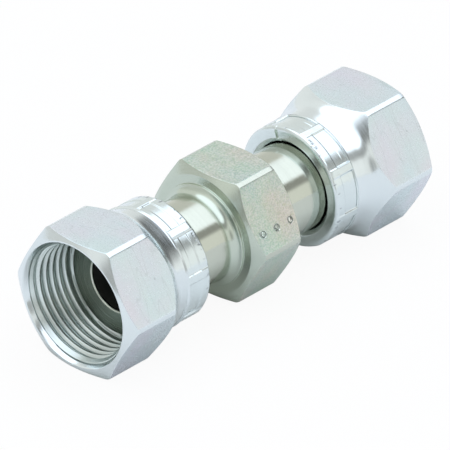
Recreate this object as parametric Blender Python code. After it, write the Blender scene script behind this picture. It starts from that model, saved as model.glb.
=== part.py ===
"""Swivel-nut union: a turned steel body with a loose, crimped-on swivel nut at each end.

The axis of the union is X and +Z is up. The origin is the middle of the body, on its axis. Angles round
the axis are measured from +Z. Every length is in metres.
"""

from math import cos, pi, radians, sin, tan

import bmesh
import bpy

MM = 0.001

# Bore and nose of the body, on which the nut turns
BORE_DIAMETER = 12.3 * MM
BORE_CHAMFER = 0.4 * MM
NECK_WALL = 3.1 * MM
NOSE_RISE = 2.1 * MM
NOSE_LENGTH = 6.05 * MM
NOSE_CONE_ANGLE = radians(45)
NOSE_CHAMFER = 0.4 * MM

# Body, from its middle to its ends
BODY_LENGTH = 63.9 * MM
BODY_HEX_LENGTH = 12.98 * MM
SHOULDER_FILLET = 1.35 * MM
SHOULDER_RING_EDGE = 0.2 * MM
SHOULDER_RING_LENGTH = 0.5 * MM
BODY_FACE_WIDTH = 1.8 * MM
BODY_FLAT_STEP = 0.895 * MM
BODY_CORNER_CUT = 0.29 * MM
BODY_CHAMFER_ANGLE = radians(30)

# Inside of the nut, from its mouth to its tail. Its fits run from the seat and the nose of the body.
NUT_OVER_NOSE = 11.75 * MM
COUNTERSINK_DEPTH = 1.17 * MM
COUNTERSINK_ANGLE = radians(30)
THREAD_OVER_NOSE = 0.5 * MM
RELIEF_DEPTH = 0.9 * MM
RELIEF_LENGTH = 2.6 * MM
RELIEF_BEHIND_SEAT = 2.05 * MM
NOSE_CLEARANCE = 0.3 * MM
NOSE_PLAY = 0.4 * MM
NECK_CLEARANCE = 1.18 * MM

# Outside of the nut, from its mouth to its tail
MOUTH_RING_WIDTH = 0.62 * MM
MOUTH_CHAMFER_ANGLE = radians(30)
FLAT_WALL = 1.5375 * MM
NUT_CORNER_CUT = 0.28 * MM
NUT_HEX_LENGTH = 10.5 * MM
SHOULDER_ANGLE = radians(40)
WAIST_WALL = 0.95 * MM
WAIST_FILLET = 2.4 * MM
WAIST_LENGTH = 1.87 * MM
COLLAR_STEP_LENGTH = 0.5 * MM
COLLAR_RISE = 0.45 * MM
COLLAR_LENGTH = 6.1 * MM
COLLAR_LIP_RADIUS = 1.1 * MM

# Crimp marks on the tail of the nut
JAW_COUNT = 8
JAW_PRINT_DEPTH = 0.26 * MM
JAW_RIDGE_ANGLE = radians(7.5)
LEFT_JAW_TURN = radians(9.375)
RIGHT_JAW_TURN = radians(13.125)

# Radii that follow: each part lies round the one before it
BORE_RADIUS = BORE_DIAMETER / 2
NECK_RADIUS = BORE_RADIUS + NECK_WALL
NOSE_RADIUS = NECK_RADIUS + NOSE_RISE
CAVITY_RADIUS = NOSE_RADIUS + NOSE_CLEARANCE
TAIL_HOLE_RADIUS = NECK_RADIUS + NECK_CLEARANCE
THREAD_RADIUS = NOSE_RADIUS + THREAD_OVER_NOSE
RELIEF_RADIUS = THREAD_RADIUS + RELIEF_DEPTH
MOUTH_RADIUS = THREAD_RADIUS + COUNTERSINK_DEPTH
WAIST_RADIUS = CAVITY_RADIUS + WAIST_WALL
COLLAR_RADIUS = WAIST_RADIUS + COLLAR_RISE
NUT_ACROSS_FLATS = 2 * (RELIEF_RADIUS + FLAT_WALL)
NUT_CORNER_RADIUS = NUT_ACROSS_FLATS / 2 / cos(radians(30)) - NUT_CORNER_CUT
SHOULDER_RING_RADIUS = NECK_RADIUS + SHOULDER_FILLET + SHOULDER_RING_EDGE
BODY_FACE_RADIUS = SHOULDER_RING_RADIUS + BODY_FACE_WIDTH
BODY_ACROSS_FLATS = 2 * (BODY_FACE_RADIUS + BODY_FLAT_STEP)
BODY_CORNER_RADIUS = BODY_ACROSS_FLATS / 2 / cos(radians(30)) - BODY_CORNER_CUT

# Places along the nut that follow, with 0 at the seat of the body
NECK_CONE_X = -NOSE_LENGTH + NOSE_RISE / tan(NOSE_CONE_ANGLE)
CORNER_CHAMFER_RISE = NUT_CORNER_RADIUS - MOUTH_RADIUS - MOUTH_RING_WIDTH
HEX_START_X = NUT_OVER_NOSE - CORNER_CHAMFER_RISE * tan(MOUTH_CHAMFER_ANGLE)
HEX_END_X = HEX_START_X - NUT_HEX_LENGTH
CONE_FOOT_RADIUS = WAIST_RADIUS + WAIST_FILLET * (1 - cos(SHOULDER_ANGLE))
CONE_FOOT_X = HEX_END_X - (NUT_CORNER_RADIUS - CONE_FOOT_RADIUS) / tan(SHOULDER_ANGLE)
WAIST_X = CONE_FOOT_X - WAIST_FILLET * sin(SHOULDER_ANGLE)
COLLAR_X = WAIST_X - WAIST_LENGTH - COLLAR_STEP_LENGTH
TAIL_X = COLLAR_X - COLLAR_LENGTH

# Facets
NUT_FACETS = 96
BODY_FACETS = 72
FILLET_STEPS = 4
CUTTER_MARGIN = 5 * MM


def clear_scene():
    for obj in list(bpy.data.objects):
        bpy.data.objects.remove(obj, do_unlink=True)


def plated_steel(name, colour, roughness):
    """Zinc-plated steel of one tint."""
    material = bpy.data.materials.new(name)
    material.use_nodes = True
    shader = material.node_tree.nodes["Principled BSDF"]
    shader.inputs["Base Color"].default_value = (*colour, 1.0)
    shader.inputs["Metallic"].default_value = 1.0
    shader.inputs["Roughness"].default_value = roughness
    return material


def object_from(name, bm, place=(0, 0, 0), turn=(0, 0, 0)):
    bmesh.ops.recalc_face_normals(bm, faces=bm.faces)
    mesh = bpy.data.meshes.new(name)
    bm.to_mesh(mesh)
    bm.free()
    obj = bpy.data.objects.new(name, mesh)
    obj.location = place
    obj.rotation_euler = turn
    bpy.context.collection.objects.link(obj)
    return obj


def arc(centre, radius, start, end, steps=FILLET_STEPS):
    """Profile points (x, r) on an arc, both ends included. Angles run from +x towards +r."""
    angles = [start + (end - start) * i / steps for i in range(steps + 1)]
    return [(centre[0] + radius * cos(a), centre[1] + radius * sin(a)) for a in angles]


def on_circle(x, radius, angle):
    return (x, -radius * sin(angle), radius * cos(angle))


def revolved(profile, facets):
    """A ring-shaped solid: a closed profile of (x, r) points turned round the X axis."""
    bm = bmesh.new()
    step = 2 * pi / facets
    rings = []
    for i in range(facets):
        angle = (i + 0.5) * step
        rings.append([bm.verts.new(on_circle(x, r, angle)) for x, r in profile])
    for i, ring in enumerate(rings):
        following = rings[(i + 1) % facets]
        for j in range(len(profile)):
            k = (j + 1) % len(profile)
            bm.faces.new((ring[j], ring[k], following[k], following[j]))
    return bm


def hexagon_bar(name, across_flats, low, high, place, turn):
    """A hexagonal bar along X with a flat on top. It is the tool that cuts the flats."""
    bm = bmesh.new()
    corner = across_flats / 2 / cos(radians(30))
    ends = []
    for x in (low, high):
        ends.append([bm.verts.new(on_circle(x, corner, radians(30 + 60 * i))) for i in range(6)])
    for i in range(6):
        j = (i + 1) % 6
        bm.faces.new((ends[0][i], ends[0][j], ends[1][j], ends[1][i]))
    bm.faces.new(ends[0])
    bm.faces.new(ends[1])
    return as_cutter(object_from(name, bm, place, turn))


def as_cutter(obj):
    obj.hide_render = True
    obj.display_type = "WIRE"
    return obj


def cut(obj, cutter, operation):
    modifier = obj.modifiers.new(cutter.name, "BOOLEAN")
    modifier.operation = operation
    modifier.solver = "EXACT"
    modifier.object = cutter


def smooth(obj):
    obj.data.shade_smooth()
    obj.data.set_sharp_from_angle(angle=radians(30))


def nut_outside():
    """Outer half of the nut's profile, from its mouth to its tail."""
    fillet_centre = (WAIST_X, WAIST_RADIUS + WAIST_FILLET)
    fillet = arc(fillet_centre, WAIST_FILLET, SHOULDER_ANGLE - pi / 2, -pi / 2)
    lip_centre = (TAIL_X + COLLAR_LIP_RADIUS, COLLAR_RADIUS - COLLAR_LIP_RADIUS)
    lip = arc(lip_centre, COLLAR_LIP_RADIUS, pi / 2, pi)
    return (
        [
            (NUT_OVER_NOSE, MOUTH_RADIUS + MOUTH_RING_WIDTH),
            (HEX_START_X, NUT_CORNER_RADIUS),
            (HEX_END_X, NUT_CORNER_RADIUS),
        ]
        + fillet
        + [(COLLAR_X + COLLAR_STEP_LENGTH, WAIST_RADIUS), (COLLAR_X, COLLAR_RADIUS)]
        + lip
    )


def nut_inside():
    """Inner half of the nut's profile, from its tail to its mouth."""
    relief_end = -RELIEF_BEHIND_SEAT
    thread_end = relief_end + RELIEF_LENGTH
    cone_x = NECK_CONE_X - NOSE_PLAY
    cone_end_x = cone_x - (CAVITY_RADIUS - TAIL_HOLE_RADIUS) / tan(NOSE_CONE_ANGLE)
    countersink_x = NUT_OVER_NOSE - COUNTERSINK_DEPTH / tan(COUNTERSINK_ANGLE)
    return [
        (TAIL_X, TAIL_HOLE_RADIUS),
        (cone_end_x, TAIL_HOLE_RADIUS),
        (cone_x, CAVITY_RADIUS),
        (relief_end, CAVITY_RADIUS),
        (relief_end, RELIEF_RADIUS),
        (thread_end, RELIEF_RADIUS),
        (thread_end, THREAD_RADIUS),
        (countersink_x, THREAD_RADIUS),
        (NUT_OVER_NOSE, MOUTH_RADIUS),
    ]


def crimp_jaws(name, turn_angle, place, turn):
    """The eight jaws of the crimping tool, pressed JAW_PRINT_DEPTH into the collar of the nut."""
    bm = bmesh.new()
    span = 2 * pi / JAW_COUNT - JAW_RIDGE_ANGLE
    steps = round(span / (2 * pi / NUT_FACETS))
    floor = COLLAR_RADIUS - JAW_PRINT_DEPTH
    roof = COLLAR_RADIUS + CUTTER_MARGIN
    low = TAIL_X - CUTTER_MARGIN
    high = COLLAR_X
    for jaw in range(JAW_COUNT):
        start = turn_angle + jaw * 2 * pi / JAW_COUNT + JAW_RIDGE_ANGLE / 2
        rings = []
        for i in range(steps + 1):
            angle = start + span * i / steps
            corners = [(low, floor), (high, floor), (high, roof), (low, roof)]
            rings.append([bm.verts.new(on_circle(x, r, angle)) for x, r in corners])
        for first, second in zip(rings, rings[1:]):
            for j in range(4):
                k = (j + 1) % 4
                bm.faces.new((first[j], first[k], second[k], second[j]))
        bm.faces.new(rings[0])
        bm.faces.new(rings[-1])
    return as_cutter(object_from(name, bm, place, turn))


def swivel_nut(side, place, turn, jaw_turn, material):
    blank = revolved(nut_outside() + nut_inside(), NUT_FACETS)
    nut = object_from(f"{side}_swivel_nut", blank, place, turn)
    smooth(nut)
    nut.data.materials.append(material)
    bar = hexagon_bar(
        f"{side}_nut_flats",
        NUT_ACROSS_FLATS,
        TAIL_X - CUTTER_MARGIN,
        NUT_OVER_NOSE + CUTTER_MARGIN,
        place,
        turn,
    )
    cut(nut, bar, "INTERSECT")
    cut(nut, crimp_jaws(f"{side}_crimp_jaws", jaw_turn, place, turn), "DIFFERENCE")
    return nut


def body_half():
    """Outer profile of the right half of the body, from the middle of its hexagon to its seat."""
    seat = BODY_LENGTH / 2
    face = BODY_HEX_LENGTH / 2
    ring_x = face + SHOULDER_RING_LENGTH
    fillet_centre = (ring_x + SHOULDER_FILLET, NECK_RADIUS + SHOULDER_FILLET)
    fillet = arc(fillet_centre, SHOULDER_FILLET, pi, 3 * pi / 2)
    chamfer_x = face - (BODY_CORNER_RADIUS - BODY_FACE_RADIUS) * tan(BODY_CHAMFER_ANGLE)
    return (
        [
            (chamfer_x, BODY_CORNER_RADIUS),
            (face, BODY_FACE_RADIUS),
            (face, SHOULDER_RING_RADIUS),
            (ring_x - SHOULDER_RING_EDGE, SHOULDER_RING_RADIUS),
        ]
        + fillet
        + [
            (seat - NOSE_LENGTH, NECK_RADIUS),
            (seat + NECK_CONE_X, NOSE_RADIUS),
            (seat - NOSE_CHAMFER, NOSE_RADIUS),
            (seat, NOSE_RADIUS - NOSE_CHAMFER),
        ]
    )


def union_body(material):
    seat = BODY_LENGTH / 2
    bore_half = [(seat, BORE_RADIUS + BORE_CHAMFER), (seat - BORE_CHAMFER, BORE_RADIUS)]
    right = body_half() + bore_half
    left = [(-x, r) for x, r in reversed(right)]
    body = object_from("union_body", revolved(right + left, BODY_FACETS))
    smooth(body)
    body.data.materials.append(material)
    reach = seat + CUTTER_MARGIN
    bar = hexagon_bar("body_flats", BODY_ACROSS_FLATS, -reach, reach, (0, 0, 0), (0, 0, 0))
    cut(body, bar, "INTERSECT")
    return body


def main():
    clear_scene()
    nut_zinc = plated_steel("nut_zinc", (0.76, 0.80, 0.82), 0.3)
    body_zinc = plated_steel("body_zinc", (0.67, 0.68, 0.61), 0.32)
    union_body(body_zinc)
    seat = BODY_LENGTH / 2
    swivel_nut("left", (-seat, 0, 0), (0, 0, pi), LEFT_JAW_TURN, nut_zinc)
    swivel_nut("right", (seat, 0, 0), (0, 0, 0), RIGHT_JAW_TURN, nut_zinc)


if __name__ == "__main__":
    main()
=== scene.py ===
"""Dresses a straight steel union that has a free-turning, crimped-on nut at each end.

The axis of the union is X and +Z is up. Angles round the axis run from +Z towards -Y. Every length is in
metres. A nut is made with the seat of the body at x 0 and its mouth towards +X, and is then put in place.
"""

from functools import partial
from math import acos, cos, pi, radians, sin, tan
from types import SimpleNamespace

import bmesh
import bpy
from mathutils import Matrix, Vector


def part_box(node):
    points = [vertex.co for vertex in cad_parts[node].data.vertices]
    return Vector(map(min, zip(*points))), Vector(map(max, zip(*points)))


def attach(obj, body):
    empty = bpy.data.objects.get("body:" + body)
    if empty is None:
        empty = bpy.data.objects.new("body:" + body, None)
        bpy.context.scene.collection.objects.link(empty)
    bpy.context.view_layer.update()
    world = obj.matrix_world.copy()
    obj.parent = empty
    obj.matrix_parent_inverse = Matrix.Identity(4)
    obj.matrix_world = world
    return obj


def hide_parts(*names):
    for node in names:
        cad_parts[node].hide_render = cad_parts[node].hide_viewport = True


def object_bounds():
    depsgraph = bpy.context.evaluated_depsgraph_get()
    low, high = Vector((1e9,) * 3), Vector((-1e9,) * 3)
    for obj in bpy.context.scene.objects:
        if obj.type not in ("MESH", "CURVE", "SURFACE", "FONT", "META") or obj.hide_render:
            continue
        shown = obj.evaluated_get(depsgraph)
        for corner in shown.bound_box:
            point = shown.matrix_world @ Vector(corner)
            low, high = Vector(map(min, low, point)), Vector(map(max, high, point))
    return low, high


bl_info = {
    "name": "Swivel Nut Union",
    "version": (1, 0, 0),
    "blender": (4, 5, 0),
    "location": "3D View > Sidebar > Union",
    "description": "Builds a swivel-nut union, its finishes and a plain studio round its fixed frame",
    "category": "Object",
}

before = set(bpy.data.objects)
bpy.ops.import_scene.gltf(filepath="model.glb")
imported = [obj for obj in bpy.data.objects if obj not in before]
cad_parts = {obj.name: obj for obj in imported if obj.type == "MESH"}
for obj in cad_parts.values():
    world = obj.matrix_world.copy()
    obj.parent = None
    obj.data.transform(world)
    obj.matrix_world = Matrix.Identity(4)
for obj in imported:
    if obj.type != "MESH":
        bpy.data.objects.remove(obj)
cad_low, cad_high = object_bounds()
_, body_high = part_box("union_body")
nut_low, nut_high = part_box("right_swivel_nut")

MM = 0.001
SEAT_X = body_high.x
SIDES = ("left", "right")

# Numbers of the finishes of the faces: both kinds of piece, the nuts alone and the body alone
FLAT = 0
TURNED = 1
CRIMPED = 2
INNER = 3
SEAT = 2
BORE = 3
FACED = 4


# Settings

def length(name, text, metres):
    return bpy.props.FloatProperty(name=name, description=text, default=metres, unit="LENGTH", precision=5)


def angle(name, text, degrees):
    return bpy.props.FloatProperty(name=name, description=text, default=radians(degrees), subtype="ANGLE")


def colour(name, text, red, green, blue):
    return bpy.props.FloatVectorProperty(
        name=name, description=text, default=(red, green, blue), subtype="COLOR", min=0.0, max=1.0
    )


def amount(name, text, value):
    return bpy.props.FloatProperty(name=name, description=text, default=value, subtype="FACTOR", min=0.0)


def count(name, text, number, least):
    return bpy.props.IntProperty(name=name, description=text, default=number, min=least)


def words(name):
    """The name of a setting or an input as people read it."""
    return name.replace("_", " ").capitalize()


class NutSizes(bpy.types.PropertyGroup):
    across_flats: length("Across flats", "Width of the hexagon", 2 * nut_high.z)
    corner_radius: length("Corner radius", "Radius that the corners are turned down to", nut_high.y)
    mouth_x: length("Mouth", "Place of the mouth, from the seat", nut_high.x - SEAT_X)
    mouth_radius: length("Mouth radius", "Widest radius of the countersink", 13.34 * MM)
    mouth_ring: length("Mouth ring", "Width of the flat ring round the mouth", 0.3 * MM)
    mouth_chamfer: angle("Mouth chamfer", "Angle between the mouth's face and its chamfer", 30)
    hex_length: length("Hexagon length", "Length of a corner of the hexagon", 10.5 * MM)
    shoulder_angle: angle("Shoulder angle", "Angle between the shoulder cone and the axis", 40)
    waist_radius: length("Waist radius", "Radius at the foot of the shoulder cone", 13.28 * MM)
    waist_low: length("Waist low", "Lowest radius of the waist, in front of the collar", 12.74 * MM)
    waist_fillet: length("Waist fillet", "Fillet from the shoulder cone into the waist", 5.0 * MM)
    collar_x: length("Collar", "Place of the collar's front edge, from the seat", -7.8 * MM)
    collar_step: length("Collar step", "Length of the step up to the collar", 0.4 * MM)
    collar_radius: length("Collar radius", "Radius of the collar before it is crimped", 13.05 * MM)
    collar_foot: length("Collar foot", "Rounding at the foot of the step up to the collar", 0.3 * MM)
    collar_edge: length("Collar edge", "Rounding at the top of that step", 0.2 * MM)
    lip_radius: length("Lip radius", "Rounding of the collar at the tail", 1.1 * MM)
    tail_x: length("Tail", "Place of the tail face, from the seat", nut_low.x - SEAT_X)
    tail_hole: length("Tail hole", "Radius of the hole in the tail, at its rim", 10.43 * MM)
    lip_hole: length("Lip hole", "Radius of that hole past its bevel", 9.48 * MM)
    tail_round: length("Tail round", "Rounding of the rim of that hole", 0.15 * MM)
    tail_bevel: length("Tail bevel", "Length of the bevel inside the tail", 0.8 * MM)
    bevel_round: length("Bevel round", "Rounding at the inner end of that bevel", 0.4 * MM)
    cone_x: length("Cone", "Place where the room round the nose ends in a cone", -4.35 * MM)
    cavity_radius: length("Cavity radius", "Radius round the nose of the body", 11.65 * MM)
    relief_radius: length("Relief radius", "Radius of the groove behind the thread", 12.75 * MM)
    relief_x: length("Relief", "Place of the far side of the relief groove", -1.0 * MM)
    edge_softness: length("Edge softness", "Rounding of the machined edges", 0.13 * MM)


class ThreadSizes(bpy.types.PropertyGroup):
    pitch: length("Pitch", "Distance from one turn to the next", 1.814 * MM)
    root_radius: length("Root radius", "Radius at the root of the thread, in the wall", 12.72 * MM)
    crest_radius: length("Crest radius", "Radius at the crest of the thread", 11.85 * MM)
    crest_width: length("Crest width", "Flat on the crest", 0.42 * MM)
    root_width: length("Ridge width", "Width of the ridge at the wall", 1.6 * MM)
    crest_round: length("Crest round", "Rounding of the edges of the crest", 0.16 * MM)
    inner_end: length("Inner end", "Place where the thread meets the relief groove", 0.55 * MM)
    run_out: angle("Run-out", "Steepness of the cone where the thread meets that groove", 60)
    sunk_in: length("Sunk in", "How far the cut ends of the ridge lie behind the cones", 0.02 * MM)
    deepest: length("Deepest", "How far the foot of the ridge lies in the wall", 0.1 * MM)
    steps: count("Steps", "Steps in one turn", 128, 12)


class CrimpSizes(bpy.types.PropertyGroup):
    jaws: count("Jaws", "Jaws of the crimping tool", 8, 2)
    depth: length("Print depth", "How deep each jaw presses the collar", 0.33 * MM)
    lip_depth: length("Lip depth", "How deep the jaws press the lip behind their print", 0.15 * MM)
    ridge_angle: angle("Ridge angle", "Angle left standing between two jaws", 7.5)
    bead: length("Bead", "Height of the bead that each jaw squeezes up at its edge", 0.03 * MM)
    print_end: length("Print end", "Place of the rear edge of the jaws' prints", -11.45 * MM)
    print_wall: length("Print wall", "Length of the slope at the front and rear of a print", 0.22 * MM)
    edge_hold: length("Edge hold", "Width of the rows that keep the prints' edges crisp", 0.09 * MM)
    rim: length("Rim", "Width of the rim in front of the prints", 1.25 * MM)
    rim_depth: length("Rim depth", "How deep the jaws press that rim", 0.29 * MM)
    left_turn: angle("Left turn", "Turn of the first ridge on the left nut", 9.375)
    right_turn: angle("Right turn", "Turn of the first ridge on the right nut", 13.125)
    dents: length("Dents", "Unevenness of the pressed collar", 0.03 * MM)
    seam_turn: angle("Seam turn", "Turn of the seam across the tail", -16.5)
    seam_spread: angle("Seam spread", "Angle that the seam takes up to each side", 1.3)
    seam_depth: length("Seam depth", "Depth of that seam", 0.28 * MM)


class BodySizes(bpy.types.PropertyGroup):
    across_flats: length("Across flats", "Width of the hexagon", 2 * body_high.z)
    corner_radius: length("Corner radius", "Radius that the corners are turned down to", 15.293 * MM)
    half_hex: length("Half hexagon", "From the middle to the end face of the hexagon", 6.49 * MM)
    face_radius: length("Face radius", "Radius of the end face of the hexagon", 12.6 * MM)
    chamfer: angle("Chamfer", "Angle between the end face and its chamfer", 30)
    ring_radius: length("Ring radius", "Radius of the small ring beside the hexagon", 10.8 * MM)
    ring_length: length("Ring length", "How far that ring stands out", 0.5 * MM)
    flare: angle("Flare", "Steepness of the neck's flare where it meets the ring", 68)
    shoulder_fillet: length("Shoulder fillet", "Fillet from that flare into the neck", 1.9 * MM)
    neck_radius: length("Neck radius", "Radius of the neck", 9.25 * MM)
    nose_radius: length("Nose radius", "Radius of the nose inside the nut", 11.35 * MM)
    nose_length: length("Nose length", "From the seat to the foot of the nose", 6.05 * MM)
    nose_chamfer: length("Nose chamfer", "Rounding of the rim of the seat", 0.4 * MM)
    bore_radius: length("Bore radius", "Radius of the through bore", 6.15 * MM)
    bore_round: length("Bore round", "Rounding where the bore meets the seat", 0.35 * MM)
    edge_softness: length("Edge softness", "Rounding of the machined edges", 0.14 * MM)
    marks: count("Punch marks", "Plain marks on one flat", 3, 0)
    mark_radius: length("Mark radius", "Radius of a punch mark", 0.58 * MM)
    mark_groove: length("Mark groove", "Half the width of the groove of a punch mark", 0.09 * MM)
    mark_pitch: length("Mark pitch", "Distance between two punch marks", 3.85 * MM)
    mark_middle: length("Mark middle", "Place of the middle mark along the union", 0.3 * MM)
    mark_height: length("Mark height", "Height of the marks above the middle of their flat", -3.1 * MM)
    mark_turn: angle("Mark turn", "Turn of the flat that carries the marks", 60)


class Finishes(bpy.types.PropertyGroup):
    nut_flat: colour("Nut flats", "Drawn and plated flats of the nuts", 0.67, 0.77, 0.79)
    nut_flat_tint: colour("Nut tint", "Second tint in the plating of the nuts", 0.71, 0.74, 0.79)
    nut_turned: colour("Nut turned", "Turned faces of the nuts", 0.76, 0.83, 0.84)
    nut_crimped: colour("Nut collar", "Pressed collar of the nuts", 0.74, 0.82, 0.82)
    nut_thread: colour("Nut thread", "Thread and inside of the nuts", 0.72, 0.80, 0.78)
    body_flat: colour("Body flats", "Drawn flats of the body", 0.54, 0.63, 0.56)
    body_flat_tint: colour("Body tint", "Second tint in the plating of the body", 0.62, 0.61, 0.54)
    body_turned: colour("Body turned", "Turned faces of the body", 0.565, 0.60, 0.52)
    body_faced: colour("Body faced", "End faces of the hexagon of the body", 0.575, 0.645, 0.56)
    # Far below the body's other turned steel: painted shade of the cavity inside the nut
    seat: colour("Seat", "Turned seats at the ends of the body", 0.29, 0.33, 0.28)
    # Near black: painted shade of the deep bore
    bore: colour("Bore", "Drilled bore of the body", 0.10, 0.105, 0.095)


class StudioSettings(bpy.types.PropertyGroup):
    azimuth: angle("Azimuth", "Direction of the camera round the union", -46.9)
    elevation: angle("Elevation", "Height of the camera above the horizon", 30.92)
    distance: length("Distance", "From the middle of the union to the camera", 2.351)
    lens: bpy.props.FloatProperty(name="Lens", description="Focal length in millimetres", default=957.7)
    aim_right: length("Aim right", "Sideways offset of the camera's aim", -0.303 * MM)
    aim_up: length("Aim up", "Upward offset of the camera's aim", -0.699 * MM)
    level: amount("Level", "Brightness of the white room", 0.95)
    overhead: amount("Overhead", "Brightness of the soft box overhead", 1.7)
    floor_glow: amount("Floor glow", "Share of the floor that the camera sees white in the shadow", 0.93)


# Profiles and turned meshes

# Columns beside the edge of a flat, in degrees from it, and the spans across the flat between them
EDGE_PLACES = (-1.1, -0.8, -0.5, -0.25, 0.0, 0.25, 0.5, 0.8, 1.1)
FLAT_SPANS = 22
CLOSEST_COLUMNS = radians(0.12)


def arc_between(start, centre, end, steps):
    """Points on the short arc from start to end, both included."""
    first = start - centre
    last = end - centre
    turn = first.angle_signed(last)
    points = []
    for i in range(steps + 1):
        a = -turn * i / steps
        x = first.x * cos(a) - first.y * sin(a)
        y = first.x * sin(a) + first.y * cos(a)
        points.append(centre + Vector((x, y)))
    return points


def outline(corners):
    """Rows (place, finish) round a closed profile.

    A corner is its x and radius, its rounding and the steps in that, and the spans up to the next corner
    with their finish.
    """
    places = [Vector(corner[:2]) for corner in corners]
    arcs = []
    for i, place in enumerate(places):
        rounding, steps = corners[i][2:4]
        if not steps:
            arcs.append([place])
            continue
        before = (places[i - 1] - place).normalized()
        after = (places[(i + 1) % len(places)] - place).normalized()
        half = before.angle(after) / 2
        inset = rounding / tan(half)
        centre = place + (before + after).normalized() * rounding / sin(half)
        arcs.append(arc_between(place + before * inset, centre, place + after * inset, steps))
    rows = []
    for i, points in enumerate(arcs):
        spans, finish = corners[i][4:]
        rows += [(p, finish) for p in points]
        ahead = arcs[(i + 1) % len(arcs)][0]
        rows += [(points[-1].lerp(ahead, k / spans), finish) for k in range(1, spans)]
    return rows


def soft_lesser(a, b, softness):
    """The lesser of two radii, rounded over where they meet."""
    gap = max(softness - abs(a - b), 0.0)
    return min(a, b) - gap * gap / (4 * softness)


def hexagon_columns(across_flats, corner_radius, softness, extra=()):
    """Columns round a turned hexagon: (angle, radius at that angle, whether it lies on a flat)."""
    flat_edge = acos(across_flats / 2 / corner_radius)
    edge = [flat_edge + radians(d) for d in EDGE_PLACES]
    inner = [edge[0] * (2 * i / FLAT_SPANS - 1) for i in range(FLAT_SPANS + 1)]
    outer = [a for a in edge[1:] if a < radians(30)]
    sector = [-a for a in outer] + inner + outer
    angles = []
    for side in range(6):
        angles += [a + radians(60) * side for a in sector] + [radians(30 + 60 * side)]
    for a in extra:
        if min(abs((a - b + pi) % (2 * pi) - pi) for b in angles) > CLOSEST_COLUMNS:
            angles.append(a % (2 * pi))
    columns = []
    for a in sorted(x % (2 * pi) for x in angles):
        from_flat = (a + radians(30)) % radians(60) - radians(30)
        radius = soft_lesser(across_flats / 2 / cos(from_flat), corner_radius, softness)
        columns.append((a, radius, abs(from_flat) < flat_edge))
    return columns


def turned_mesh(name, columns, rows_at, materials):
    """A closed ring-shaped mesh. rows_at gives the rows of the profile for the hexagon's radius there."""
    points = []
    for a, radius, _ in columns:
        rows = rows_at(radius)
        points += [(p.x, -p.y * sin(a), p.y * cos(a)) for p, _ in rows]
    high = len(rows)
    wide = len(columns)
    faces = []
    slots = []
    for i in range(wide):
        k = (i + 1) % wide
        both_flat = columns[i][2] and columns[k][2]
        for j, (_, finish) in enumerate(rows):
            n = (j + 1) % high
            faces.append((i * high + j, i * high + n, k * high + n, k * high + j))
            slots.append(TURNED if finish == FLAT and not both_flat else finish)
    mesh = bpy.data.meshes.new(name)
    mesh.from_pydata(points, [], faces)
    for finish in materials:
        mesh.materials.append(finish)
    mesh.polygons.foreach_set("material_index", slots)
    mesh.shade_smooth()
    mesh.update()
    return mesh


def faces_outwards(mesh):
    """Turns the faces of a closed mesh outwards if its volume comes out negative."""
    solid = bmesh.new()
    solid.from_mesh(mesh)
    if solid.calc_volume(signed=True) < 0:
        mesh.flip_normals()
    solid.free()


def nut_place(side):
    """From the nut's own place to the frame. The left nut is turned end for end about Z."""
    if side == "right":
        return Matrix.Translation((SEAT_X, 0, 0))
    return Matrix.Translation((-SEAT_X, 0, 0)) @ Matrix.Rotation(pi, 4, "Z")


def add_object(name, data):
    obj = bpy.data.objects.new(name, data)
    bpy.context.scene.collection.objects.link(obj)
    return obj


def hold_flats(obj):
    """Keeps the wide flat faces flat-shaded beside their narrow rounded edges."""
    modifier = obj.modifiers.new("hold_flats", "WEIGHTED_NORMAL")
    modifier.mode = "FACE_AREA"
    modifier.weight = 50
    modifier.keep_sharp = False


# Node trees

class Value:
    """An output in a node tree. Arithmetic with it adds the math nodes that work out the answer."""

    def __init__(self, socket):
        self.socket = socket
        self.tree = socket.id_data

    def __add__(self, other):
        return maths("ADD", self, other)

    def __radd__(self, other):
        return maths("ADD", other, self)

    def __sub__(self, other):
        return maths("SUBTRACT", self, other)

    def __rsub__(self, other):
        return maths("SUBTRACT", other, self)

    def __mul__(self, other):
        return maths("MULTIPLY", self, other)

    def __truediv__(self, other):
        return maths("DIVIDE", self, other)

    def __rtruediv__(self, other):
        return maths("DIVIDE", other, self)

    def __abs__(self):
        return maths("ABSOLUTE", self)


def fill(made, inputs):
    """Sets or links the inputs of a node by name or number."""
    for name, value in inputs.items():
        if isinstance(value, Value):
            value.tree.links.new(value.socket, made.inputs[name])
        else:
            made.inputs[name].default_value = value


def add_node(tree, kind, inputs=None, **settings):
    made = tree.nodes.new(kind)
    for name, value in settings.items():
        setattr(made, name, value)
    fill(made, inputs or {})
    return made


def result(tree, kind, inputs=None, output=0, **settings):
    """Adds a node and returns one of its outputs, by name or number."""
    return Value(add_node(tree, kind, inputs, **settings).outputs[output])


def tree_of(*values):
    return next(value.tree for value in values if isinstance(value, Value))


def maths(operation, *values):
    """The answer of a math node on values and plain numbers."""
    return result(tree_of(*values), "ShaderNodeMath", dict(enumerate(values)), operation=operation)


def vector(x, y=0.0, z=0.0):
    return result(tree_of(x, y, z), "ShaderNodeCombineXYZ", {0: x, 1: y, 2: z})


def xyz(place):
    """The x, y and z of a place."""
    return [Value(socket) for socket in add_node(place.tree, "ShaderNodeSeparateXYZ", {0: place}).outputs]


def from_axis(y, z):
    """The distance from the axis of the union."""
    return maths("SQRT", maths("POWER", y, 2.0) + maths("POWER", z, 2.0))


def between(value, low, high, to_low=0.0, to_high=1.0, **settings):
    """Takes a value from one range to another, and no further than its ends."""
    ends = {"Value": value, "From Min": low, "From Max": high, "To Min": to_low, "To Max": to_high}
    return result(value.tree, "ShaderNodeMapRange", ends, **settings)


def smooth_range(value, low, high):
    """A smooth step from 0 where value is low to 1 where it is high."""
    return between(value, low, high, interpolation_type="SMOOTHSTEP")


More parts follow.
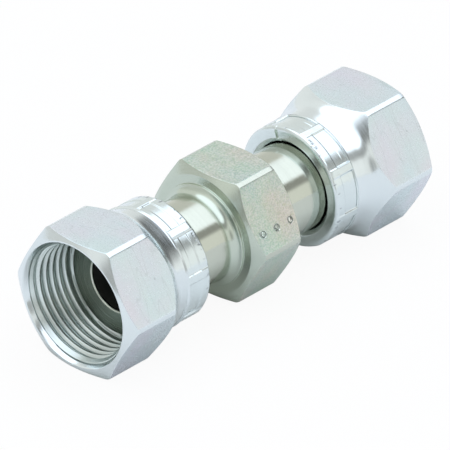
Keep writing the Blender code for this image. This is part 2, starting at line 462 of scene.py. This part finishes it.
def noise(place, scale, detail=2.0, stretch=None, output="Fac"):
    """Noise with features of about 1 / scale metres, drawn out along an axis by stretch."""
    if stretch:
        place = result(place.tree, "ShaderNodeMapping", {"Vector": place, "Scale": stretch})
    values = {"Vector": place, "Scale": scale, "Detail": detail}
    return result(place.tree, "ShaderNodeTexNoise", values, output)


def shape_tree(name, values):
    """A geometry tree with an input for a mesh and one for each value. Returns it and them by name."""
    tree = bpy.data.node_groups.new(name, "GeometryNodeTree")
    tree.interface.new_socket("Mesh", in_out="INPUT", socket_type="NodeSocketGeometry")
    for label, value in values.items():
        kind = f"NodeSocket{type(value).__name__.capitalize()}"
        tree.interface.new_socket(words(label), in_out="INPUT", socket_type=kind).default_value = value
    tree.interface.new_socket("Mesh", in_out="OUTPUT", socket_type="NodeSocketGeometry")
    sockets = tree.nodes.new("NodeGroupInput").outputs
    given = {label: Value(socket) for label, socket in zip(["mesh", *values], sockets)}
    return tree, SimpleNamespace(**given)


def finish_tree(geometry, material, number=None):
    """Ends a geometry tree in Realize Instances and Set Material, for all faces or those of one number."""
    tree = geometry.tree
    real = result(tree, "GeometryNodeRealizeInstances", {"Geometry": geometry})
    values = {"Geometry": real, "Material": material}
    if number is not None:
        index = result(tree, "GeometryNodeInputMaterialIndex")
        values["Selection"] = maths("COMPARE", index, float(number), 0.5)
    add_node(tree, "NodeGroupOutput", {0: result(tree, "GeometryNodeSetMaterial", values)})


def run_tree(name, tree, values, mesh=None):
    """Runs a geometry tree and returns the plain mesh that it makes."""
    obj = add_object(name, mesh or bpy.data.meshes.new(name))
    modifier = obj.modifiers.new(tree.name, "NODES")
    modifier.node_group = tree
    named = {words(label): value for label, value in values.items()}
    for item in tree.interface.items_tree:
        if item.in_out == "INPUT" and item.name in named:
            modifier[item.identifier] = named[item.name]
    depsgraph = bpy.context.evaluated_depsgraph_get()
    made = bpy.data.meshes.new_from_object(obj.evaluated_get(depsgraph))
    bpy.data.objects.remove(obj)
    made.name = name
    return made


def with_radius(mesh, x, y, z, radius, wanted):
    """Moves each point of a mesh towards or away from the axis, to the wanted radius."""
    share = wanted / radius
    place = vector(x, y * share, z * share)
    return result(mesh.tree, "GeometryNodeSetPosition", {"Geometry": mesh, "Position": place})


# Where a ridge slopes and its beads rise and fall, as shares of half the ridge's angle
RIDGE_SLOPE = (1.25, 0.8)
BEAD_RISE = (0.35, 0.75)
BEAD_FALL = (1.15, 0.85)

# Dents in a metre, the rounding where a print meets the collar, and where the seam fades, from the tail
DENTS = 260.0
SOFT_JOIN = 0.06 * MM
SEAM_FADE = (0.95 * MM, 0.5 * MM)


def crimp_tree(values):
    """Presses the jaws of the crimping tool into the collar of a nut, all round it."""
    tree, given = shape_tree("crimped_collar", values)
    place = result(tree, "GeometryNodeInputPosition")
    x, y, z = xyz(place)
    radius = from_axis(y, z)
    around = maths("ARCTAN2", y * -1.0, z)
    # The angle from the middle of the nearest ridge. The 8 only keeps the share above 0
    share = (around - given.turn) * given.jaws / (2 * pi)
    from_ridge = abs((maths("FRACT", share + 8.5) - 0.5) * (2 * pi / given.jaws))
    across = from_ridge / (given.ridge_angle / 2.0)
    ridge = smooth_range(across, *RIDGE_SLOPE)
    bead = smooth_range(across, *BEAD_RISE) * smooth_range(across, *BEAD_FALL)
    # Each print has a sloping wall at its rear and one at its front, behind a rim that is pressed less
    front_top = given.collar_x - given.rim
    past_rear = smooth_range(x, given.print_end, given.print_end + given.print_wall)
    behind_rim = smooth_range(x, front_top, front_top - given.print_wall)
    depth = given.lip_depth + (given.depth - given.lip_depth) * past_rear
    depth = given.rim_depth + (depth - given.rim_depth) * behind_rim
    dent = (noise(place, DENTS) - 0.5) * given.dents
    pressed = given.collar_radius - depth + depth * ridge + (bead - 1.0) * given.bead + dent
    wanted = maths("SMOOTH_MIN", radius, pressed, SOFT_JOIN)
    on_collar = maths("LESS_THAN", x, given.collar_x)
    moved = with_radius(given.mesh, x, y, z, radius, radius + (wanted - radius) * on_collar)
    # The seam is a notch across the face of the tail
    notch = maths("MAXIMUM", 1.0 - abs(around - given.seam_turn) / given.seam_spread, 0.0)
    notch = notch * given.seam_depth * smooth_range(x - given.tail_x, *SEAM_FADE)
    moved = result(tree, "GeometryNodeSetPosition", {"Geometry": moved, "Offset": vector(notch)})
    finish_tree(moved, given.finish, CRIMPED)
    return tree


# Steps round a punch mark and round the groove that makes it
MARK_STEPS = 28
GROOVE_STEPS = 8


def punch_tree(values):
    """Cuts a row of plain ring-shaped punch marks into one flat of a hexagon, with painted shade in their
    grooves.
    """
    tree, given = shape_tree("punch_marks", values)
    first = given.mark_middle - (given.marks - 1.0) / 2.0 * given.mark_pitch
    start = vector(first, given.mark_height, given.flat)
    row = {"Count": given.marks, "Start Location": start, "Offset": vector(given.mark_pitch)}
    line = result(tree, "GeometryNodeMeshLine", row, mode="OFFSET")
    ring = {"Resolution": MARK_STEPS, "Radius": given.mark_radius}
    wire = {"Resolution": GROOVE_STEPS, "Radius": given.mark_groove}
    ring = result(tree, "GeometryNodeCurvePrimitiveCircle", ring)
    wire = result(tree, "GeometryNodeCurvePrimitiveCircle", wire)
    cutter = result(tree, "GeometryNodeCurveToMesh", {"Curve": ring, "Profile Curve": wire})
    # The groove takes the seat's dark finish as painted shade in the groove
    cutter = result(tree, "GeometryNodeSetMaterial", {"Geometry": cutter, "Material": given.groove_finish})
    marks = result(tree, "GeometryNodeInstanceOnPoints", {"Points": line, "Instance": cutter})
    marks = result(tree, "GeometryNodeRealizeInstances", {"Geometry": marks})
    turn = vector(given.mark_turn)
    marks = result(tree, "GeometryNodeTransform", {"Geometry": marks, "Rotation": turn})
    pair = {"Mesh 1": given.mesh, "Mesh 2": marks}
    cut = result(tree, "GeometryNodeMeshBoolean", pair, operation="DIFFERENCE", solver="EXACT")
    finish_tree(cut, given.finish, TURNED)
    return tree


def thread_tree(values):
    """Sweeps the ridge of an internal thread along a helix and turns its ends down to the cones there."""
    tree, given = shape_tree("internal_thread", values)
    deepest = given.root_radius + given.deepest
    middle = (deepest + given.crest_radius) / 2.0
    rise = deepest - given.crest_radius
    shown = given.root_radius - given.crest_radius
    widening = (given.root_width - given.crest_width) * (rise / shown)
    spiral = {
        "Resolution": given.steps,
        "Rotations": given.turns,
        "Start Radius": middle,
        "End Radius": middle,
        "Height": given.pitch * given.turns,
    }
    helix = result(tree, "GeometryNodeCurveSpiral", spiral)
    helix = result(tree, "GeometryNodeSetCurveNormal", {"Curve": helix}, mode="Z_UP")
    widths = {"Bottom Width": given.crest_width, "Top Width": given.crest_width + widening}
    section = {**widths, "Height": rise, "Offset": 0.0}
    section = result(tree, "GeometryNodeCurvePrimitiveQuadrilateral", section, mode="TRAPEZOID")
    rounded = {"Curve": section, "Count": 2, "Radius": given.crest_round}
    section = result(tree, "GeometryNodeFilletCurve", rounded, mode="POLY")
    section = result(tree, "GeometryNodeSubdivideCurve", {"Curve": section, "Cuts": 2})
    upright = {"Geometry": section, "Rotation": (0.0, 0.0, pi / 2)}
    section = result(tree, "GeometryNodeTransform", upright)
    swept = {"Curve": helix, "Profile Curve": section, "Fill Caps": True}
    ridge = result(tree, "GeometryNodeCurveToMesh", swept)
    ridge = result(tree, "GeometryNodeTransform", {"Geometry": ridge, "Rotation": (0.0, pi / 2, 0.0)})
    start = vector(given.start)
    ridge = result(tree, "GeometryNodeTransform", {"Geometry": ridge, "Translation": start})
    # The countersink and the run-out cone press the ridge's ends back into the wall
    x, y, z = xyz(result(tree, "GeometryNodeInputPosition"))
    radius = from_axis(y, z)
    slope = (given.mouth_x - x) * maths("TANGENT", given.mouth_chamfer)
    sink = given.mouth_radius - slope + given.sunk_in
    run_out = given.root_radius + (given.inner_end - x) * maths("TANGENT", given.run_out)
    cut = maths("MINIMUM", maths("MAXIMUM", sink, run_out), given.mouth_radius + given.sunk_in)
    ridge = with_radius(ridge, x, y, z, radius, maths("MAXIMUM", radius, cut))
    finish_tree(ridge, given.finish)
    return tree


# Finishes

# How many marks of each kind lie in a metre
CLOUDS = 90.0
FILM = 130.0
HAIRS = 160.0
PITS = 300.0
DRAW_LINES = 1800.0
TURNED_CLOUDS = 120.0
COLLAR_CLOUDS = 200.0
COLLAR_WEAR = 700.0
# Burrs at the collar's lip, which also carry painted shade
SHADED_BURRS = 1100.0
DRILL_MARKS = 900.0

# Most noise lies within the first of these. The others say where a mark starts and is full
MOST_NOISE = (0.3, 0.7)
CLOUD_NOISE = (0.38, 0.62)
GRIT_NOISE = (0.36, 0.64)
SHADED_BURR_NOISE = (0.58, 0.66)

# A hairline runs where its noise crosses a level. A pit fills the middle of some cells, chosen by lot
HAIR_LEVEL = 0.56
HAIR_WIDTH = (0.012, 0.004)
PIT_WIDTH = (0.1, 0.05)
PIT_LOT = (0.75, 0.8)

WORN_TONE = (0.45, 0.5, 0.5)
# Dark tone at the collar's rear lip: painted shade of the lip
LIP_SHADE_TONE = (0.2, 0.22, 0.25)

# Numbers of the colour sockets of a Mix node
MIX_UNDER = 6
MIX_OVER = 7
MIX_RESULT = 2

# The rear lip of a collar: the middle of its burrs and of the painted shade there along the axis, and its
# radius
LIP_X = nut_low.x + 0.8 * MM
LIP_RADIUS = 12.9 * MM


def steel(name):
    """A metal material. Returns it, its shader node and the object coordinates."""
    material = bpy.data.materials.new(name)
    material.use_nodes = True
    shader = material.node_tree.nodes["Principled BSDF"]
    shader.inputs["Metallic"].default_value = 1.0
    return material, shader, result(material.node_tree, "ShaderNodeTexCoord", output="Object")


def bump(height, distance, strength, under=None):
    values = {"Height": height, "Distance": distance, "Strength": strength}
    if under:
        values["Normal"] = under
    return result(height.tree, "ShaderNodeBump", values)


def mixed(share, under, over, mode="MIX"):
    """Lays one colour over another by a share, in the given blend mode."""
    under, over = (tone if isinstance(tone, Value) else (*tone, 1.0) for tone in (under, over))
    values = {"Factor": share, MIX_UNDER: under, MIX_OVER: over}
    tree = tree_of(share, under, over)
    return result(tree, "ShaderNodeMix", values, MIX_RESULT, data_type="RGBA", blend_type=mode)


def rainbow(place, scale, stretch=None):
    """Soft noise in changing colours, as thin clear plating shows them."""
    return noise(place, scale, 3.0, stretch, "Color")


def darker(tone, share):
    return tuple(part * share for part in tone)


def drawn_flat(name, main, tint, grain, rough, film, speckle, grit, relief):
    """Plated flats of drawn bar: clouds of two tints, a coloured film, a grain, hairlines and pits."""
    material, shader, place = steel(name)
    tone = mixed(between(noise(place, CLOUDS, 3.0), *CLOUD_NOISE), main, tint)
    tone = mixed(film, tone, rainbow(place, FILM, (1.6, 0.6, 0.6)), "OVERLAY")
    tone = mixed(speckle, tone, rainbow(place, grain), "OVERLAY")
    tone = mixed(grit, tone, between(noise(place, grain, 3.0), *GRIT_NOISE, 0.1, 0.9), "OVERLAY")
    cells = {"Vector": place, "Scale": PITS, "Randomness": 1.0}
    cells = add_node(place.tree, "ShaderNodeTexVoronoi", cells).outputs
    chosen = smooth_range(xyz(Value(cells["Color"]))[0], *PIT_LOT)
    pit = smooth_range(Value(cells["Distance"]), *PIT_WIDTH) * chosen
    hair = noise(place, HAIRS, 1.0, (2.2, 0.35, 0.35))
    hair = smooth_range(abs(hair - HAIR_LEVEL), *HAIR_WIDTH)
    worn = maths("MAXIMUM", pit, hair * 0.35)
    speck = noise(place, grain)
    normal = bump(noise(place, DRAW_LINES, stretch=(0.06, 1.0, 1.0)), 0.01 * MM, 0.5)
    normal = bump(speck, relief, 0.8, normal)
    inputs = {
        "Base Color": mixed(worn * 0.55, tone, WORN_TONE),
        "Roughness": between(speck, *MOST_NOISE, rough - 0.05, rough + 0.07),
        "Normal": bump(1.0 - worn, 0.02 * MM, 0.8, normal),
    }
    fill(shader, inputs)
    return material


def turned_steel(name, main, rough, grooves, spread=0.6):
    """Turned faces: fine grooves round the axis, so that highlights spread across them."""
    material, shader, place = steel(name)
    x, y, z = xyz(place)
    marks = noise(vector(x, from_axis(y, z)), grooves)
    round_axis = {"Vector": vector(0.0, z * -1.0, y)}
    spaces = {"vector_type": "VECTOR", "convert_from": "OBJECT", "convert_to": "WORLD"}
    inputs = {
        "Base Color": mixed(noise(place, TURNED_CLOUDS, 3.0), darker(main, 0.92), main),
        "Roughness": between(marks, *MOST_NOISE, rough - 0.04, rough + 0.06),
        "Normal": bump(marks, 0.006 * MM, 0.6),
        "Anisotropic": spread,
        "Anisotropic Rotation": 0.25,
        "Tangent": result(place.tree, "ShaderNodeVectorTransform", round_axis, **spaces),
    }
    fill(shader, inputs)
    return material


def crimped_steel(name, main, rough):
    """The pressed collar: smooth, a little uneven, with fine burrs round its rear lip whose dark tone is
    painted shade of the lip.
    """
    material, shader, place = steel(name)
    x, y, z = xyz(place)
    near_lip = smooth_range(abs(abs(x) - LIP_X), 0.75 * MM, 0.3 * MM)
    outside = smooth_range(from_axis(y, z), LIP_RADIUS - 0.6 * MM, LIP_RADIUS - 0.3 * MM)
    # Burrs at the rear lip: their bump is relief, and their dark tone is painted shade of the lip
    torn_and_shaded = smooth_range(noise(place, SHADED_BURRS, 4.0, (0.4, 1.0, 1.0)), *SHADED_BURR_NOISE)
    shaded_burr = torn_and_shaded * near_lip * outside
    plated = mixed(noise(place, COLLAR_CLOUDS, 3.0), darker(main, 0.9), main)
    wear = noise(place, COLLAR_WEAR, 3.0)
    inputs = {
        "Base Color": mixed(shaded_burr * 0.55, plated, LIP_SHADE_TONE),
        "Roughness": between(wear, *MOST_NOISE, rough - 0.05, rough + 0.08),
        "Normal": bump(1.0 - shaded_burr, 0.04 * MM, 0.8, bump(wear, 0.015 * MM, 0.7)),
    }
    fill(shader, inputs)
    return material


def dark_bore(name, main):
    """The drilled bore: dull and near black, as painted shade of the deep hole, with the drill's marks
    round it.
    """
    material, shader, place = steel(name)
    marks = noise(place, DRILL_MARKS, 2.0, (1.0, 0.15, 0.15))
    inputs = {
        "Metallic": 0.6,
        "Base Color": mixed(marks, darker(main, 0.6), main),
        "Roughness": between(marks, *MOST_NOISE, 0.45, 0.6),
        "Normal": bump(marks, 0.01 * MM, 0.5),
    }
    fill(shader, inputs)
    return material


def made_once(name, maker, *tones, **looks):
    """The material of that name, made at its first use."""
    return bpy.data.materials.get(name) or maker(name, *tones, **looks)


def nut_materials(finishes):
    """The finishes of the nuts, in the order of their numbers."""
    tones = (finishes.nut_flat, finishes.nut_flat_tint)
    looks = {
        "grain": 2600.0, "relief": 0.009 * MM, "rough": 0.3,
        "film": 0.12, "speckle": 0.05, "grit": 0.03,
    }
    return [
        made_once("nut_drawn_flat", drawn_flat, *tones, **looks),
        made_once("nut_turned_face", turned_steel, finishes.nut_turned, rough=0.17, grooves=5000.0),
        made_once("nut_crimped_collar", crimped_steel, finishes.nut_crimped, rough=0.17),
        made_once("nut_inner_wall", turned_steel, finishes.nut_thread, rough=0.3, grooves=5000.0),
    ]


def body_materials(finishes):
    """The finishes of the body, in the order of their numbers."""
    tones = (finishes.body_flat, finishes.body_flat_tint)
    looks = {
        "grain": 3000.0, "relief": 0.015 * MM, "rough": 0.33,
        "film": 0.11, "speckle": 0.15, "grit": 0.25,
    }
    seat = {"rough": 0.23, "grooves": 7000.0, "spread": 0.95}
    faced = {"rough": 0.2, "grooves": 6000.0, "spread": 0.8}
    return [
        made_once("body_drawn_flat", drawn_flat, *tones, **looks),
        made_once("body_turned_face", turned_steel, finishes.body_turned, rough=0.11, grooves=6000.0),
        # The seat's colour carries painted shade of the nut's cavity
        made_once("body_seat_face", turned_steel, finishes.seat, **seat),
        made_once("body_bore", dark_bore, finishes.bore),
        made_once("body_faced_end", turned_steel, finishes.body_faced, **faced),
    ]


# Nuts

def nut_rows(nut, thread, crimp, radius):
    """Rows of the nut's profile where the hexagon has that radius, from the mouth over the outside."""
    soft = nut.edge_softness
    hold = crimp.edge_hold
    ring = nut.mouth_radius + nut.mouth_ring
    hex_end = nut.mouth_x - (nut.corner_radius - ring) * tan(nut.mouth_chamfer) - nut.hex_length
    lean = tan(nut.shoulder_angle)
    chamfer_x = nut.mouth_x - (radius - ring) * tan(nut.mouth_chamfer)
    shoulder_x = hex_end - (nut.corner_radius - radius) / lean
    foot_x = hex_end - (nut.corner_radius - nut.waist_radius) / lean
    sink_x = nut.mouth_x - (nut.mouth_radius - thread.root_radius) / tan(nut.mouth_chamfer)
    cone_end_x = nut.cone_x - (nut.cavity_radius - nut.tail_hole)
    front_top = nut.collar_x - crimp.rim
    front_foot = front_top - crimp.print_wall
    rear_foot = crimp.print_end + crimp.print_wall
    # Places where the prints start and end, each with the spans to the next
    prints = [
        (front_top + hold, 1),
        (front_top, 4),
        (front_foot, 1),
        (front_foot - hold, 10),
        (rear_foot + hold, 1),
        (rear_foot, 4),
        (crimp.print_end, 1),
        (crimp.print_end - hold, 1),
    ]
    outside = [
        (nut.mouth_x, nut.mouth_radius, soft * 0.6, 2, 2, TURNED),
        (nut.mouth_x, ring, soft * 0.8, 2, 4, TURNED),
        (chamfer_x, radius, soft, 4, 12, FLAT),
        (shoulder_x, radius, soft * 0.6, 3, 6, TURNED),
        (foot_x, nut.waist_radius, nut.waist_fillet, 9, 3, TURNED),
        (nut.collar_x + nut.collar_step, nut.waist_low, nut.collar_foot, 4, 2, TURNED),
        (nut.collar_x, nut.collar_radius, nut.collar_edge, 3, 1, CRIMPED),
    ]
    collar = [(x, nut.collar_radius, 0, 0, spans, CRIMPED) for x, spans in prints]
    inside = [
        (nut.tail_x, nut.collar_radius, nut.lip_radius, 8, 4, CRIMPED),
        (nut.tail_x, nut.tail_hole, nut.tail_round, 2, 3, TURNED),
        (nut.tail_x + nut.tail_bevel, nut.lip_hole, nut.bevel_round, 5, 4, TURNED),
        (cone_end_x - nut.tail_bevel, nut.lip_hole, 0, 0, 1, INNER),
        (cone_end_x, nut.tail_hole, 0, 0, 2, INNER),
        (nut.cone_x, nut.cavity_radius, 0, 0, 3, INNER),
        (nut.relief_x, nut.cavity_radius, 0, 0, 1, INNER),
        (nut.relief_x, nut.relief_radius, 0, 0, 3, INNER),
        (thread.inner_end, nut.relief_radius, 0, 0, 1, INNER),
        (thread.inner_end, thread.root_radius, 0, 0, 8, INNER),
        (sink_x, thread.root_radius, 0, 0, 3, TURNED),
    ]
    return outline(outside + collar + inside)


# Columns across a ridge, as shares of half its angle, and across the seam
RIDGE_PLACES = (0.0, 0.3, 0.5, 0.65, 0.8, 0.9, 1.0, 1.1, 1.25, 1.45)
SEAM_PLACES = (-2, -1, 0, 1, 2)


def ridge_columns(crimp, turn):
    """Extra columns at the seam and at the ridges that the jaws leave."""
    half = crimp.ridge_angle / 2
    shares = sorted({share * side for share in RIDGE_PLACES for side in (-1, 1)})
    ridges = [turn + k * 2 * pi / crimp.jaws + s * half for k in range(crimp.jaws) for s in shares]
    seam = [crimp.seam_turn + s * crimp.seam_spread / 2 for s in SEAM_PLACES]
    return seam + ridges


def picked(group, names):
    """The settings of those names in a group."""
    return {name: getattr(group, name) for name in names.split()}


class UNION_OT_nuts(bpy.types.Operator):
    """Makes both swivel nuts: turned hexagons with a waist and a crimped collar"""

    bl_idname = "union.nuts"
    bl_label = "Swivel nuts"

    def execute(self, context):
        scene = context.scene
        nut = scene.nut_sizes
        thread = scene.thread_sizes
        crimp = scene.crimp_sizes
        materials = nut_materials(scene.finishes)
        values = {
            **picked(nut, "collar_radius collar_x tail_x"),
            **picked(crimp, "jaws depth lip_depth ridge_angle bead print_end print_wall rim rim_depth"),
            **picked(crimp, "dents seam_turn seam_spread seam_depth"),
            "turn": crimp.left_turn,
            "finish": materials[CRIMPED],
        }
        tree = crimp_tree(values)
        for side in SIDES:
            turn = getattr(crimp, f"{side}_turn")
            ridges = ridge_columns(crimp, turn)
            columns = hexagon_columns(nut.across_flats, nut.corner_radius, nut.edge_softness, ridges)
            rows_at = partial(nut_rows, nut, thread, crimp)
            blank = turned_mesh("nut_blank", columns, rows_at, materials)
            mesh = run_tree(f"{side}_dressed_nut", tree, {**values, "turn": turn}, blank)
            mesh.transform(nut_place(side))
            faces_outwards(mesh)
            obj = add_object(f"{side}_dressed_nut", mesh)
            hold_flats(obj)
            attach(obj, f"{side}_nut")
            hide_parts(f"{side}_swivel_nut")
        return {"FINISHED"}


class UNION_OT_threads(bpy.types.Operator):
    """Makes the internal thread of both nuts as a ridge on a helix"""

    bl_idname = "union.threads"
    bl_label = "Threads"

    def execute(self, context):
        scene = context.scene
        nut = scene.nut_sizes
        thread = scene.thread_sizes
        start = thread.inner_end - thread.root_width
        values = {
            **picked(thread, "pitch steps root_radius crest_radius crest_width root_width crest_round"),
            **picked(thread, "inner_end run_out sunk_in deepest"),
            **picked(nut, "mouth_x mouth_radius mouth_chamfer"),
            "start": start,
            "turns": (nut.mouth_x - thread.root_width / 2 - start) / thread.pitch,
            "finish": nut_materials(scene.finishes)[INNER],
        }
        tree = thread_tree(values)
        for side in SIDES:
            mesh = run_tree(f"{side}_nut_thread", tree, values)
            mesh.transform(nut_place(side))
            faces_outwards(mesh)
            obj = add_object(f"{side}_nut_thread", mesh)
            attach(obj, f"{side}_nut")
        return {"FINISHED"}


# Body

def body_rows(body, radius):
    """Rows of the body's closed profile where its hexagon has that radius."""
    soft = body.edge_softness
    chamfer_x = body.half_hex - (radius - body.face_radius) * tan(body.chamfer)
    ring_x = body.half_hex + body.ring_length
    flare_x = ring_x + (body.ring_radius - body.neck_radius) / tan(body.flare)
    neck_x = flare_x + body.shoulder_fillet * tan(body.flare / 2) + soft
    foot_x = SEAT_X - body.nose_length
    half = [
        (chamfer_x, radius, soft, 4, 4, FACED),
        (body.half_hex, body.face_radius, soft, 3, 4, FACED),
        (body.half_hex, body.ring_radius, soft * 0.7, 2, 1, FACED),
        (ring_x, body.ring_radius, soft, 3, 1, FACED),
        (flare_x, body.neck_radius, body.shoulder_fillet, 12, 1, FACED),
        (neck_x, body.neck_radius, 0, 0, 8, TURNED),
        (foot_x, body.neck_radius, 0, 0, 2, TURNED),
        (foot_x + body.nose_radius - body.neck_radius, body.nose_radius, 0, 0, 2, TURNED),
        (SEAT_X, body.nose_radius, body.nose_chamfer, 3, 10, SEAT),
        (SEAT_X, body.bore_radius + body.bore_round + soft, 0, 0, 1, TURNED),
        (SEAT_X, body.bore_radius, body.bore_round, 5, 1, TURNED),
        (SEAT_X - body.bore_round - soft, body.bore_radius, 0, 0, 12, BORE),
    ]
    # The other half has the same corners in reverse, each with the strip that leads up to it here
    strips = [(14, FLAT)] + [corner[4:] for corner in half[:-1]]
    mirrored = [(-x, *corner, *strip) for (x, *corner, _, _), strip in zip(half, strips)]
    return outline(half + mirrored[::-1])


class UNION_OT_body(bpy.types.Operator):
    """Makes the turned and drilled body with its hexagon"""

    bl_idname = "union.body"
    bl_label = "Body"

    def execute(self, context):
        scene = context.scene
        body = scene.body_sizes
        materials = body_materials(scene.finishes)
        columns = hexagon_columns(body.across_flats, body.corner_radius, body.edge_softness)
        blank = turned_mesh("body_blank", columns, partial(body_rows, body), materials)
        faces_outwards(blank)
        values = {
            **picked(body, "marks mark_radius mark_groove mark_pitch mark_middle mark_height mark_turn"),
            "flat": body.across_flats / 2,
            # Painted shade in the punch marks' grooves: the seat's dark finish
            "groove_finish": materials[SEAT],
            "finish": materials[TURNED],
        }
        mesh = run_tree("dressed_body", punch_tree(values), values, blank)
        obj = add_object("dressed_body", mesh)
        hold_flats(obj)
        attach(obj, "body")
        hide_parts("union_body")
        return {"FINISHED"}


# Studio

ROOM_TINT = (1.0, 1.0, 0.98)
SOFT_BOX_TINT = (0.95, 1.0, 1.1)
WHITE = (1.0, 1.0, 1.0, 1.0)

# The soft box overhead, by the degrees from its middle, and the dark gap along its front edge
SOFT_BOX_AIM = (0.10, -0.06, 0.98)
SOFT_BOX_ENDS = (42, 48)
GAP_ENDS = (55, 63)
GAP_FRONT = (-0.05, -0.25)
GAP_DARKNESS = 0.56

# The dark right end of the room, which stops at an even angle from the union's axis
RIGHT_END_ENDS = (44, 48.5)
RIGHT_SHADE_AIM = (0.80, -0.08, 0.58)
RIGHT_SHADE_ENDS = (26, 42)
RIGHT_SHADE_DARKNESS = 0.52

# Each patch: its direction, the degrees within which it is full and past which it ends, and its change
ROOM_PATCHES = {
    "dark right wall": ((0.93, 0.02, 0.30), 18, 33, -0.58),
    "dark left wall": ((-0.97, -0.18, 0.12), 12, 24, -0.5),
    "left front": ((-0.63, -0.36, 0.68), 8, 20, -0.42),
    "low front": ((-0.36, -0.92, 0.12), 6, 19, -0.52),
    "back left": ((-0.60, 0.74, 0.20), 12, 32, -0.22),
    "back right": ((0.63, 0.59, 0.51), 12, 30, -0.1),
    "front right": ((0.63, -0.74, 0.25), 12, 28, 0.1),
}

FLOOR_COLOUR = (0.82, 0.82, 0.82, 1.0)
FLOOR_HALF = 2.0
FLOOR_CORNERS = ((-1, -1), (1, -1), (1, 1), (-1, 1))


def empty_tree(owner):
    owner.use_nodes = True
    owner.node_tree.nodes.clear()
    return owner.node_tree


def cap(direction, towards, full, none):
    """A soft round patch of the room: 1 inside the angle full, 0 outside the angle none, in degrees."""
    aim = {0: direction, 1: Vector(towards).normalized()}
    dot = result(direction.tree, "ShaderNodeVectorMath", aim, "Value", operation="DOT_PRODUCT")
    return smooth_range(dot, cos(radians(none)), cos(radians(full)))


def white_room(studio):
    """The room that the metal mirrors: white walls, a soft box overhead and patches unlike either."""
    world = bpy.data.worlds.new("white_room")
    bpy.context.scene.world = world
    tree = empty_tree(world)
    direction = result(tree, "ShaderNodeTexCoord", output="Generated")
    box = cap(direction, SOFT_BOX_AIM, *SOFT_BOX_ENDS)
    gap = cap(direction, SOFT_BOX_AIM, *GAP_ENDS) - box
    gap = gap * smooth_range(xyz(direction)[1], *GAP_FRONT)
    right_end = cap(direction, (1, 0, 0), *RIGHT_END_ENDS)
    shade = right_end * cap(direction, RIGHT_SHADE_AIM, *RIGHT_SHADE_ENDS)
    level = studio.level + box * (studio.overhead - studio.level)
    level = level * (1.0 - gap * GAP_DARKNESS) * (1.0 - shade * RIGHT_SHADE_DARKNESS)
    for towards, full, none, change in ROOM_PATCHES.values():
        level = level * (1.0 + cap(direction, towards, full, none) * change)
    tint = mixed(box, ROOM_TINT, SOFT_BOX_TINT)
    room = result(tree, "ShaderNodeBackground", {"Color": tint, "Strength": level})
    white = result(tree, "ShaderNodeBackground", {"Color": WHITE, "Strength": 1.0})
    camera_ray = result(tree, "ShaderNodeLightPath", output="Is Camera Ray")
    seen = result(tree, "ShaderNodeMixShader", {0: camera_ray, 1: room, 2: white})
    add_node(tree, "ShaderNodeOutputWorld", {"Surface": seen})


def white_floor(studio):
    """A white floor that the metal mirrors with its shadows. The camera sees those only faintly."""
    mesh = bpy.data.meshes.new("floor")
    corners = [(x * FLOOR_HALF, y * FLOOR_HALF, cad_low.z) for x, y in FLOOR_CORNERS]
    mesh.from_pydata(corners, [], [(0, 1, 2, 3)])
    floor = add_object("floor", mesh)
    material = bpy.data.materials.new("white_floor")
    tree = empty_tree(material)
    card = result(tree, "ShaderNodeBsdfDiffuse", {"Color": FLOOR_COLOUR})
    glow = result(tree, "ShaderNodeEmission", {"Color": WHITE, "Strength": 1.0})
    share = result(tree, "ShaderNodeLightPath", output="Is Camera Ray") * studio.floor_glow
    surface = result(tree, "ShaderNodeMixShader", {0: share, 1: card, 2: glow})
    add_node(tree, "ShaderNodeOutputMaterial", {"Surface": surface})
    mesh.materials.append(material)


def photo_camera(studio):
    """The camera, aimed a little off the middle of the union."""
    az = studio.azimuth
    el = studio.elevation
    back = Vector((sin(az) * cos(el), -cos(az) * cos(el), sin(el)))
    turn = (-back).to_track_quat("-Z", "Y")
    right = turn @ Vector((1, 0, 0))
    up = turn @ Vector((0, 1, 0))
    data = bpy.data.cameras.new("camera")
    data.lens = studio.lens
    data.clip_end = 20.0
    camera = add_object("camera", data)
    camera.rotation_mode = "QUATERNION"
    camera.rotation_quaternion = turn
    camera.location = back * studio.distance + right * studio.aim_right + up * studio.aim_up
    bpy.context.scene.camera = camera


class UNION_OT_studio(bpy.types.Operator):
    """Makes the white floor, the soft light and the camera"""

    bl_idname = "union.studio"
    bl_label = "Studio"

    def execute(self, context):
        studio = context.scene.studio_settings
        white_room(studio)
        white_floor(studio)
        photo_camera(studio)
        context.scene.view_settings.view_transform = "Standard"
        return {"FINISHED"}


# Panel and registration

class UNION_PT_panel(bpy.types.Panel):
    """Lists the steps that build the union"""

    bl_idname = "UNION_PT_panel"
    bl_label = "Swivel Nut Union"
    bl_space_type = "VIEW_3D"
    bl_region_type = "UI"
    bl_category = "Union"

    def draw(self, context):
        for step in STEPS:
            self.layout.operator(step.bl_idname)
        for name in SETTINGS:
            group = getattr(context.scene, name)
            box = self.layout.box()
            box.label(text=words(name))
            for field in group.bl_rna.properties.keys():
                if field not in ("rna_type", "name"):
                    box.prop(group, field)


SETTINGS = {
    "nut_sizes": NutSizes,
    "thread_sizes": ThreadSizes,
    "crimp_sizes": CrimpSizes,
    "body_sizes": BodySizes,
    "finishes": Finishes,
    "studio_settings": StudioSettings,
}
STEPS = (UNION_OT_nuts, UNION_OT_threads, UNION_OT_body, UNION_OT_studio)


def register():
    for group in SETTINGS.values():
        bpy.utils.register_class(group)
    for step in STEPS:
        bpy.utils.register_class(step)
    bpy.utils.register_class(UNION_PT_panel)
    for name, group in SETTINGS.items():
        setattr(bpy.types.Scene, name, bpy.props.PointerProperty(type=group))


def unregister():
    for name in SETTINGS:
        delattr(bpy.types.Scene, name)
    bpy.utils.unregister_class(UNION_PT_panel)
    for step in reversed(STEPS):
        bpy.utils.unregister_class(step)
    for group in reversed(SETTINGS.values()):
        bpy.utils.unregister_class(group)


def write_sizes():
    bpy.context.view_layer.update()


def main():
    register()
    bpy.ops.union.nuts()
    bpy.ops.union.threads()
    bpy.ops.union.body()
    bpy.ops.union.studio()
    write_sizes()


if __name__ == "__main__":
    main()
